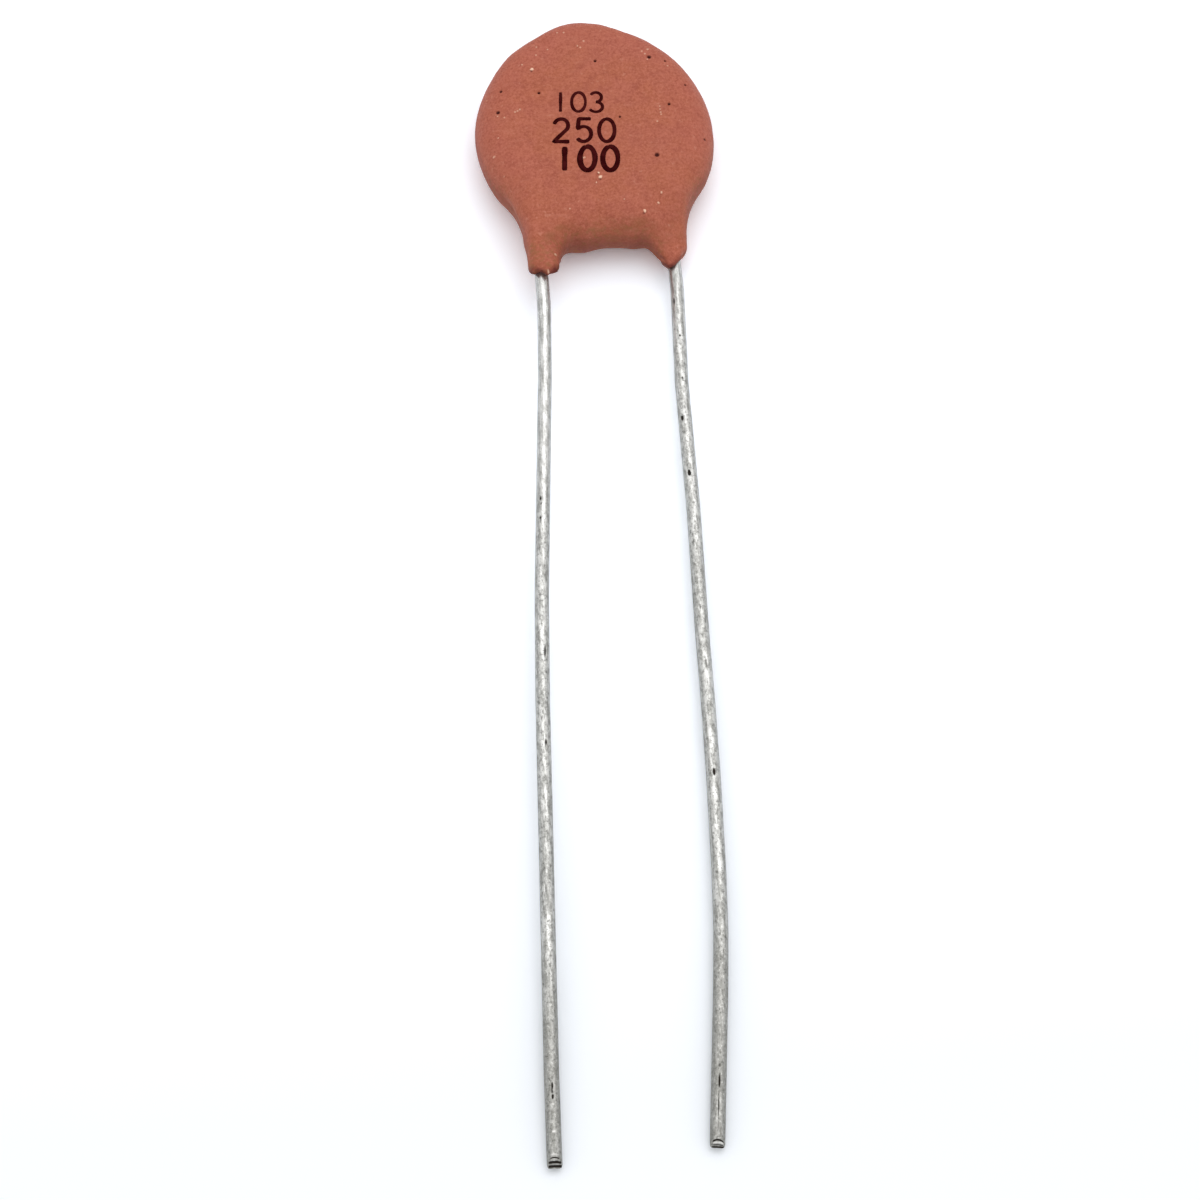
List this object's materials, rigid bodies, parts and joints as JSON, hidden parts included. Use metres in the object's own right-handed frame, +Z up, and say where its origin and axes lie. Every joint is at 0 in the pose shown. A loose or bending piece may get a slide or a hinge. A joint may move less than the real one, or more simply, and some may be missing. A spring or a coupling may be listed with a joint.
{
  "type": "disc ceramic capacitor",
  "caption": "Dipped disc ceramic capacitor: a flat red-brown coated disc with a drip crown, and legs of coating that run down onto long tinned wire leads with pinched ends.",
  "frame": {"origin": "on the flat underside of the coating, below the middle of the ceramic disc", "axes": "+Z up from the surface that it lies on; +Y from the leads towards the drip crown; the right lead on the +X side"},
  "size_m": [0.0119, 0.0556, 0.0032],
  "materials": {
    "coating": "matte dipped phenolic, fine grain",
    "ceramic": "matte fired ceramic",
    "silver": "dull fired silver film",
    "solder": "dull tin-lead solder",
    "tinned_wire": "tinned copper, drawn"
  },
  "bodies": {
    "root": {"coating": "coating", "ceramic_disc": "ceramic", "upper_electrode": "silver", "lower_electrode": "silver", "upper_solder": "solder", "lower_solder": "solder", "left_lead": "tinned_wire", "right_lead": "tinned_wire"}
  },
  "joints": []
}
